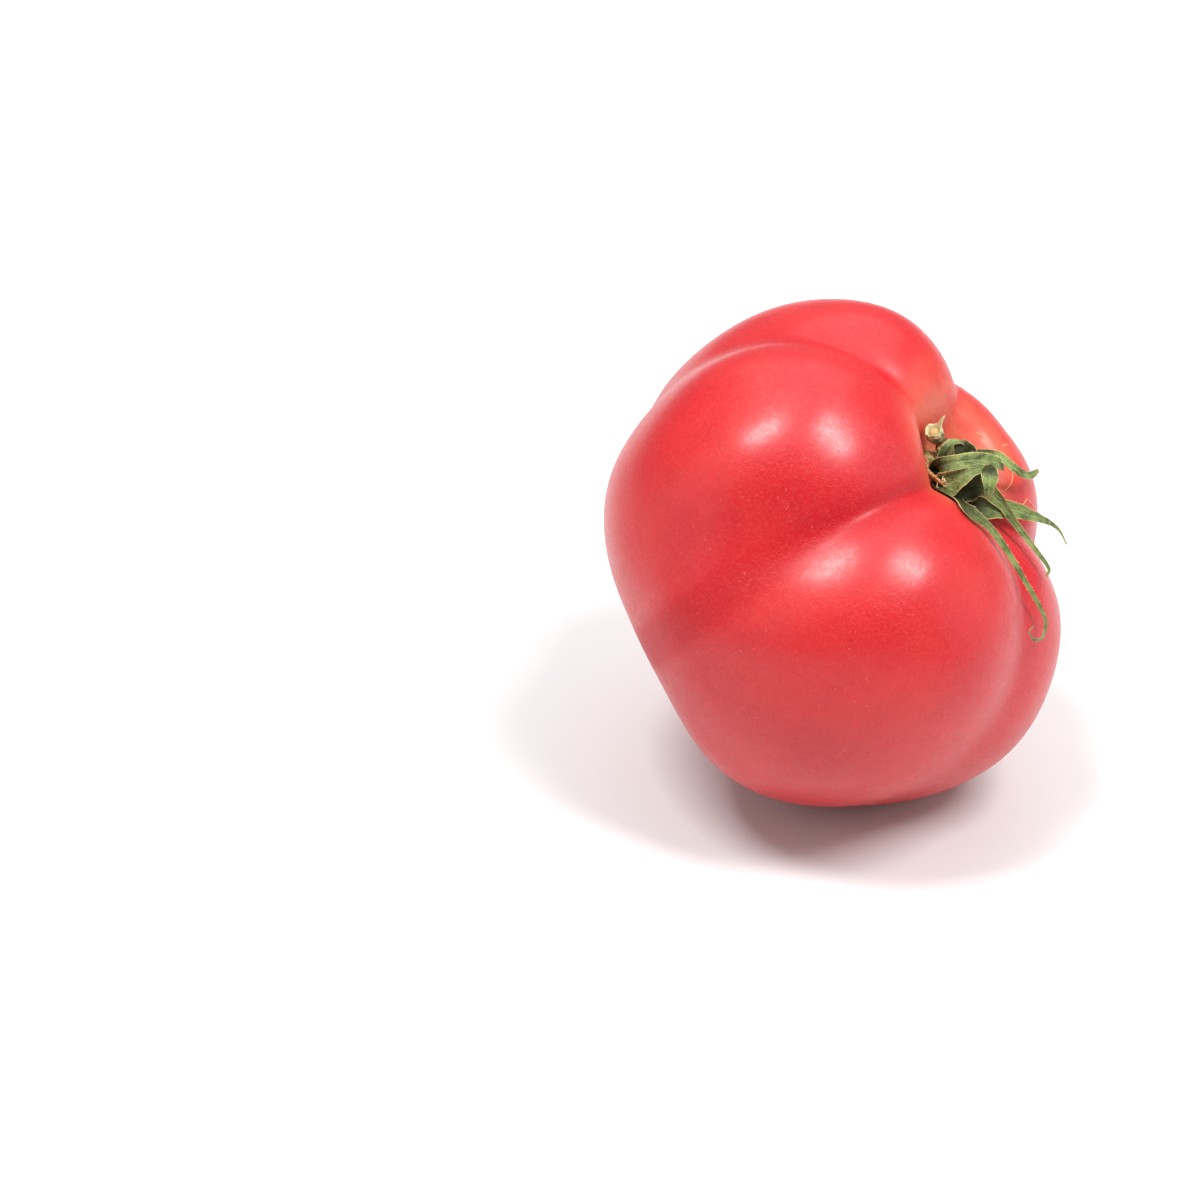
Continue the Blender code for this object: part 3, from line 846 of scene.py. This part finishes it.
# %% Receptacle
# Radius and height above the fruit's middle, from the pad's underside to its top
PAD_PROFILE = (
    (1.2, 26.05), (2.6, 26.0), (3.5, 26.2), (3.75, 26.6), (3.6, 27.1), (3.0, 27.6), (2.2, 27.9),
    (1.2, 28.05), (0.5, 28.05),
)
PAD_RINGS = 40
PAD_AROUND = 72
RIDGES = 9
RIDGE_HEIGHT = 0.05
RIDGE_RADII = (2.0, 3.5)


def receptacle_piece():
    """radius(height) * (1 + a ridge of a cosine of nine times the azimuth)"""
    t = np.linspace(0.0, 1.0, PAD_RINGS)[:, None]
    radius, height = (eased(column, t) for column in zip(*PAD_PROFILE))
    angle = round_angles(PAD_AROUND)
    ridge = 1.0 + RIDGE_HEIGHT * np.cos(RIDGES * angle) * smoothstep(radius, *RIDGE_RADII)
    x, y = radius * ridge * np.cos(angle), radius * ridge * np.sin(angle)
    rings = np.stack(np.broadcast_arrays(x, y, height), -1)
    ends = [(0.0, 0.0, height[k, 0]) for k in (0, -1)]
    return closed_piece("receptacle", rings, ends)


hand_in(receptacle_piece(), "calyx", leaf)

# %% [markdown]
# ## The stalk's stub
# A tomato breaks from its truss at a knuckle, a swollen ring a little way up the stalk. This stub
# has two of them, one above the other, with a dark groove between, and the upper one is torn open:
# a ragged rim that runs out to one long wisp, round a pale, domed wooden core. The stub is a tube
# along its bent path whose radius swells twice. At the end its rings turn inwards to make the cup.

# %% Stem
STEM_GAP = 0.4
RECEPTACLE_TOP = 28.0
STEM_PATH = (
    (0, 0, RECEPTACLE_TOP + STEM_GAP), (0.4, 155, 29.5), (3.2, 158, 30.3),
    (6.4, 163, 30.6), (9, 170, 31.1), (10.8, 178, 32),
)
STEM_RADII = (1.6, 1.35, 1.2, 1.25, 1.5, 1.6, 1.05, 1.35, 1.65, 1.7, 1.5)
STEM_RINGS = 90
STEM_AROUND = 72
STEM_START = 0.1
# Number of ribs, their height and their twist; number of teeth, their height and their phase
RIBS = ((7, 0.05, 2.0), (11, 0.03, -3.0))
RIM_TEETH = ((3, 0.20, 0.7), (7, 0.12, 0.0))
RIM_FADE = (0.88, 1.0)
# Radius and depth of the rings inside the torn end, from the rim to the core
CUP = ((1.42, 0.10), (1.25, -0.30), (1.05, -0.65), (0.92, -0.70), (0.80, -0.45), (0.6, -0.28),
       (0.4, -0.18), (0.2, -0.15))
CUP_FADE = (0.9, 1.45)
CUP_SPREAD = 0.9
CUP_TEETH = 0.93
CUT_FADE = (0.90, 1.0)
CUT_AT_RIM = 0.1
WISP_ANGLE = -5.0
WISP_LENGTH = 1.3
WISP_SPREAD = 1.6
WISP_WIDTH = 0.26


def frames_along(line):
    """A line's tangents, and two directions that are square to them and to each other"""
    tangent = unit(np.gradient(line, axis=0))
    side = unit(np.cross(tangent, direction(*FACING)))
    return tangent, side, np.cross(side, tangent)


def circled(centre, side, normal, radius, angle):
    """centre + radius * (side * cosine + normal * sine of the angle)"""
    return (centre + side * (radius * np.cos(angle))[..., None]
            + normal * (radius * np.sin(angle))[..., None])


def stem_piece():
    """The wall is the radius times ribs of cosines, with a rim of sines and a bell curve for the
    wisp. The cup's rings follow the rim less and less. Two numbers are kept for the finish"""
    line = smoothed(curve_through(on_path(STEM_PATH), STEM_RINGS), 2)
    tangent, side, normal = frames_along(line)
    s = np.linspace(0.0, 1.0, STEM_RINGS)[:, None]
    angle = round_angles(STEM_AROUND)
    from_wisp = (angle - np.radians(WISP_ANGLE) + np.pi) % (2 * np.pi) - np.pi
    wisp = np.exp(-(from_wisp / WISP_WIDTH) ** 2)
    teeth = sum(high * np.sin(count * angle + phase) for count, high, phase in RIM_TEETH)
    ragged = teeth + WISP_LENGTH * wisp

    at_rim = smoothstep(s, *RIM_FADE)
    rib = 1.0 + sum(high * np.cos(count * angle + twist * s) for count, high, twist in RIBS)
    radius = eased(STEM_RADII, s) * rib + WISP_SPREAD * wisp * at_rim ** 2
    centre = line[:, None] + tangent[:, None] * (ragged * at_rim)[..., None]
    wall = circled(centre, side[:, None], normal[:, None], radius, angle)

    radius, depth = np.array(CUP).T[..., None]
    follow = smoothstep(radius, *CUP_FADE)
    radius = radius + WISP_SPREAD * wisp * follow * CUP_SPREAD
    centre = line[-1] + tangent[-1] * (depth + ragged * follow * CUP_TEETH)[..., None]
    rings = np.concatenate([wall, circled(centre, side[-1], normal[-1], radius, angle)])

    ends = [line[0] - tangent[0] * STEM_START, line[-1] + tangent[-1] * depth[-1]]
    inwards = np.linspace(CUT_AT_RIM, 1.0, len(CUP))[:, None]
    values = {"cut": np.vstack([CUT_AT_RIM * smoothstep(s, *CUT_FADE), inwards]),
              "reach": np.vstack([s, np.ones_like(inwards)])}
    values = {key: np.broadcast_to(column, rings.shape[:2]) for key, column in values.items()}
    return closed_piece("stalk_stub", rings, ends, values)


stem = stem_piece()

# %% [markdown]
# The stub's finish is a mottled grey-green. Two numbers stored at its points steer the rest: its
# reach along the stub puts the brown-red groove between the knuckles, and how far in on the cut a
# point lies gives a pale rim, then a dark ring, then the straw colour of dry wood.

# %% Stem finish
STALK_GREEN = rgb(0.36, 0.35, 0.13)
STALK_BROWN = rgb(0.22, 0.17, 0.06)
GROOVE = rgb(0.14, 0.035, 0.02)
RIM_PALE = rgb(0.66, 0.60, 0.34)
STRAW = rgb(0.50, 0.37, 0.15)
STALK_BLOTCH_SCALE = 900.0
STALK_GRAIN_SCALE = 3200.0
STALK_RELIEF = 0.0003
GROOVE_REACH = 0.59


def stem_finish():
    """Layers of colour through masks of two noises, the reach and the cut"""
    finish = Finish("broken stalk", Specular_IOR_Level=0.3)
    where = finish.place()
    blotch = finish.noise(where, STALK_BLOTCH_SCALE)
    grain = finish.noise(where, STALK_GRAIN_SCALE)
    cut = finish.attribute("cut")
    reach = finish.attribute("reach")
    base = finish.layered(
        STALK_BROWN,
        (blotch.ramp(0.38, 0.60), STALK_GREEN),
        (grain.ramp(0.42, 0.75, 0.0, 0.6), RIM_PALE),
        (abs(reach - GROOVE_REACH).ramp(0.02, 0.075, 1.0, 0.0) * 0.9, GROOVE),
        (reach.ramp(0.86, 0.99) * 0.85, RIM_PALE),
        (cut.ramp(0.25, 0.42, 0.0, 0.7), STALK_BROWN),
        (cut.ramp(0.50, 0.62), STRAW),
    )
    normal = finish.bump(blotch + grain * 0.4, STALK_RELIEF, 0.8)
    finish.feed(Base_Color=base, Roughness=grain.ramp(0.3, 0.7, 0.6, 0.8), Normal=normal)
    return finish


hand_in(stem, "stem", stem_finish())

# %% [markdown]
# ## Dry strands and hairs
# The flower's last remains are dry, tan strands that curl beside the pad. Each is a round tube
# along a path, and its list gives the radii from root to tip, and then the path.

# %% Dry strands
STRANDS = {
    "tan_strand": ((0.5, 0.55, 0.42, 0.3, 0.16), (
        (8.2, -133.8, 27.5), (10.7, -115.2, 27.9), (12, -98.5, 28.9), (13.7, -87.4, 30),
        (14.8, -84.8, 31), (14.6, -89.9, 31.4))),
    "curled_strand": ((0.16, 0.2, 0.14, 0.08), (
        (10.2, -107.8, 27.2), (11.8, -95.5, 28.6), (11.8, -97.4, 30.2), (12.5, -91.7, 30.8),
        (14.2, -88.6, 30.6))),
    "hanging_strand": ((0.2, 0.16, 0.1, 0.06), (
        (11.3, -99.9, 27.9), (13.6, -89.4, 29.2), (15.7, -87.1, 29.4), (16.3, -85.3, 29.8))),
    "short_strand": ((0.18, 0.16, 0.12, 0.07), (
        (12.6, -93.9, 28.8), (14.6, -85.5, 30.2), (15.7, -81.8, 30.8), (15.1, -82.9, 31.4))),
    "root_strand": ((0.35, 0.3, 0.25), (
        (7.8, -151.7, 28), (8.2, -127.4, 27.8), (9.5, -110.7, 27.9))),
}
STRAND_RINGS = 40
STRAND_AROUND = 10
STRAND_UNEVEN = 0.15
DRY_TAN = rgb(0.62, 0.40, 0.18)
DRY_BROWN = rgb(0.30, 0.11, 0.03)
DRY_GRAIN_SCALE = 2400.0
DRY_RELIEF = 0.0001


def strand_piece(name, radii, path):
    """A circle carried along the path, its radius made uneven by a sine that winds round it"""
    line = curve_through(on_path(path), STRAND_RINGS)
    _, side, normal = frames_along(line)
    s = np.linspace(0.0, 1.0, STRAND_RINGS)[:, None]
    angle = round_angles(STRAND_AROUND)
    radius = eased(radii, s) * (1.0 + STRAND_UNEVEN * np.sin(9.0 * s + 2 * angle))
    rings = circled(line[:, None], side[:, None], normal[:, None], radius, angle)
    return closed_piece(name, rings, line[[0, -1]])


def dry_finish():
    """Brown and tan in the grain of a noise, paler towards the tip"""
    finish = Finish("dry strand", Specular_IOR_Level=0.3)
    along, _ = finish.uv()
    grain = finish.noise(finish.place(), DRY_GRAIN_SCALE)
    base = finish.layered(
        DRY_BROWN,
        (grain.ramp(0.35, 0.65), DRY_TAN),
        (along.ramp(0.7, 1.0, 0.0, 0.6), RIM_PALE),
    )
    finish.feed(Base_Color=base, Roughness=grain.ramp(0.3, 0.7, 0.55, 0.75),
                Normal=finish.bump(grain, DRY_RELIEF, 0.8))
    return finish


dry = dry_finish()
for name, (radii, path) in STRANDS.items():
    hand_in(strand_piece(name, radii, path), "calyx", dry)

# %% [markdown]
# The edges of young leaves carry short white hairs. A hair is a spike with three sides, and some
# hundreds of them are worked out together as whole arrays: a point on a sepal's edge, a direction
# that is mostly outwards with a seeded draw added, and a length. All of them are one mesh.

# %% One mesh of hairs
HAIR_RADIUS = 0.022
HAIR_LENGTH = (0.15, 0.50)
HAIR_SINK = 0.05
HAIR_SPREAD = 0.45
HAIRS_PER_MM = 1.4
HAIR_SEED = 4
BARE_ROOT_RINGS = 2
BARE_TIP_RINGS = 3
ANY_DIRECTION = (0.31, 0.55, 0.77)
SPIKE_FACES = ((0, 1, 3), (1, 2, 3), (2, 0, 3), (2, 1, 0))
HAIR_WHITE = rgb(0.80, 0.78, 0.62)


def hair_roots(rings, random):
    """Random places on a sepal's two edges, and the direction from its middle out to them"""
    length = np.linalg.norm(np.diff(rings.mean(1), axis=0), axis=1).sum()
    count = int(length * HAIRS_PER_MM)
    place = random.uniform(BARE_ROOT_RINGS, len(rings) - BARE_TIP_RINGS, count)
    row = place.astype(int)
    t = (place - row)[:, None]
    column = np.where(random.random(count) < 0.5, 0, SEPAL_AROUND // 2)
    edge = rings[row, column] * (1 - t) + rings[row + 1, column] * t
    return edge, unit(edge - rings.mean(1)[row])


def hairs_piece(all_rings):
    """Spikes with a base of three points round the root and a tip at its length"""
    random = np.random.default_rng(HAIR_SEED)
    found = [hair_roots(rings, random) for rings in all_rings]
    root, out = (np.concatenate(part) for part in zip(*found))
    out = unit(out + random.normal(0.0, HAIR_SPREAD, root.shape))
    reach = random.uniform(*HAIR_LENGTH, (len(root), 1))
    side = unit(np.cross(out, ANY_DIRECTION))
    base = circled((root - out * HAIR_SINK)[:, None], side[:, None], np.cross(out, side)[:, None],
                   HAIR_RADIUS, round_angles(3))
    points = np.concatenate([base, (root + out * reach)[:, None]], axis=1)
    faces = np.array(SPIKE_FACES) + np.arange(len(root))[:, None, None] * points.shape[1]
    mesh = bpy.data.meshes.new("sepal_hairs")
    mesh.from_pydata(placed(points.reshape(-1, 3)).tolist(), [], faces.reshape(-1, 3).tolist())
    return in_scene("sepal_hairs", mesh)


white_hair = Finish("white hair", Base_Color=HAIR_WHITE, Roughness=0.5, Specular_IOR_Level=0.3)
hand_in(hairs_piece(sepal_shapes.values()), "calyx", white_hair)

# %% [markdown]
# ## Corky lines
# Where a leaf has rubbed the young fruit, the skin heals with thin raised lines of tan cork. Each
# is a fine strand laid half sunk along a path on the skin, so it follows every curve of the fruit.

# %% Corky lines on the skin
# The angle from the stem axis and the azimuth of each line's places
CORKY_LINES = {
    "cork_arc": ((19.1, 54.7), (20.5, 56.5), (21.7, 54.8)),
    "cork_long": ((20.1, 29.9), (20.4, 23), (20.3, 15.5), (19.6, 7.9)),
    "cork_left": ((27.5, 9.6), (27.7, 16.7), (28.1, 19.6)),
    "cork_right": ((28.1, 19.6), (30.8, 20.2), (34.5, 22.1)),
    "cork_tick": ((16.3, 80.5), (16.6, 73.8), (17.3, 70)),
    "cork_low": ((36.1, -24.2), (38.6, -26.5), (40.6, -27.2)),
}
CORK_PLACES = 9
CORK_RADII = (0.03, 0.10, 0.12, 0.09, 0.03)
CORK = rgb(0.84, 0.36, 0.15)


def cork_path(places):
    """Smooth places on the skin, each with the skin's own distance from the middle"""
    flat = np.array([(*place, 0.0) for place in places])
    polar, azimuth = curve_through(flat, CORK_PLACES).T[:2]
    u = direction(polar, azimuth)
    return np.stack([polar, azimuth, skin_distance(u) + low_waves(u)], axis=-1)


cork = Finish("cork", Base_Color=CORK, Roughness=0.6, Specular_IOR_Level=0.3)
for name, places in CORKY_LINES.items():
    line = strand_piece(name, CORK_RADII, cork_path(places))
    hand_in(line, "fruit", cork)

# %% [markdown]
# ## The floor
# The fruit lies on a plain matt ground. It is a pale grey, which the lamps bring up to white, and
# it lies a tenth of a millimetre low, so that it never cuts the flat spot.

# %% Floor
FLOOR_HALF = 3.0
FLOOR_LEVEL = -0.0001
FLOOR_GREY = rgb(0.74, 0.74, 0.74)


def add_floor():
    """A square about the origin, in metres"""
    mesh = bpy.data.meshes.new("floor")
    signs = ((-1, -1), (1, -1), (1, 1), (-1, 1))
    corners = [(x * FLOOR_HALF, y * FLOOR_HALF, FLOOR_LEVEL) for x, y in signs]
    mesh.from_pydata(corners, [], [(0, 1, 2, 3)])
    ground = Finish("white ground", Base_Color=FLOOR_GREY, Roughness=0.9, Specular_IOR_Level=0.1)
    mesh.materials.append(ground.material)
    floor = in_scene("floor", mesh)
    floor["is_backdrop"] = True


add_floor()

# %% [markdown]
# ## The light
# Two soft lamps, longer than they are wide, hang above the fruit, one to the left and one to the
# right and further forward, so each front lobe has a pair of broad highlights. A broad lamp
# overhead and a panel at each side open up the shade, and a dim, even sky fills the rest.

# %% Lamps and sky
bpy.context.scene.view_settings.view_transform = "Standard"
LAMP_DISTANCE = 1.5
# Name, direction from the fruit, width and height in metres, power in watts
LAMPS = (
    ("lamp_back_left", (-0.34, -0.10, 0.94), 0.34, 0.52, 16.0),
    ("lamp_front_right", (0.42, -0.25, 0.87), 0.32, 0.66, 18.5),
    ("lamp_overhead", (0.05, 0.50, 0.86), 1.50, 1.50, 8.0),
    ("panel_right", (0.95, -0.15, 0.35), 1.20, 1.20, 3.5),
    ("panel_left", (-0.90, -0.35, 0.42), 1.20, 1.20, 3.5),
)
SKY_WHITE = rgb(1.0, 1.0, 1.0)
SKY_STRENGTH = 0.30


def add_lamp(name, towards, width, height, power):
    """A rectangular lamp at the lamp distance along its direction, turned to the fruit's middle"""
    data = bpy.data.lights.new(name, "AREA")
    data.shape = "RECTANGLE"
    data.size = width
    data.size_y = height
    data.energy = power
    lamp = bpy.data.objects.new(name, data)
    middle = Vector(MIDDLE * MM)
    lamp.location = middle + Vector(towards).normalized() * LAMP_DISTANCE
    lamp.rotation_euler = (lamp.location - middle).to_track_quat("Z", "Y").to_euler()
    bpy.context.scene.collection.objects.link(lamp)


def set_sky():
    """A world of one even colour"""
    world = bpy.data.worlds.new("even sky")
    world.use_nodes = True
    sky = world.node_tree.nodes["Background"]
    sky.inputs["Color"].default_value = SKY_WHITE
    sky.inputs["Strength"].default_value = SKY_STRENGTH
    bpy.context.scene.world = world


for lamp in LAMPS:
    add_lamp(*lamp)
set_sky()
print(len(LAMPS), "lamps,", sum(lamp[-1] for lamp in LAMPS), "watts in all")

# %% [markdown]
# ## The camera
# The camera looks down from the front, 32 degrees above the table, through a long lens from 0.6 m.
# It stands a little to the left, so the fruit is right of the middle of the picture.

# %% Camera
CAMERA_ELEVATION = 32.0
CAMERA_DISTANCE = 606.06
CAMERA_RIGHT = -42.727
CAMERA_UP = -9.091
LENS = 100.0
SENSOR = 36.0
CLIP_START = 0.01


def add_camera():
    """Its own axes follow from the elevation, and its place is the fruit's middle plus a step
    along each of them"""
    e = np.radians(CAMERA_ELEVATION)
    right = np.array([1.0, 0.0, 0.0])
    up = np.array([0.0, np.sin(e), np.cos(e)])
    back = np.array([0.0, -np.cos(e), np.sin(e)])
    eye = MIDDLE + back * CAMERA_DISTANCE + right * CAMERA_RIGHT + up * CAMERA_UP
    data = bpy.data.cameras.new("camera")
    data.lens = LENS
    data.sensor_width = SENSOR
    data.clip_start = CLIP_START
    camera = bpy.data.objects.new("camera", data)
    matrix = np.eye(4)
    matrix[:3] = np.stack([right, up, back, eye * MM], axis=1)
    camera.matrix_world = Matrix(matrix.tolist())
    bpy.context.scene.collection.objects.link(camera)
    bpy.context.scene.camera = camera
    print("camera, mm:", eye.round(1))


add_camera()

# %% [markdown]
# ## Sizes
# The boxes of the solid model and of the dressed fruit are both printed.

# %% The two boxes, and the end
boxes = {"cad": CAD_BOX, "visual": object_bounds()}
boxes = {key: [list(map(float, corner)) for corner in box] for key, box in boxes.items()}
for key, (low, high) in boxes.items():
    print(key, "box, mm:", [round((b - a) / MM, 1) for a, b in zip(low, high)])
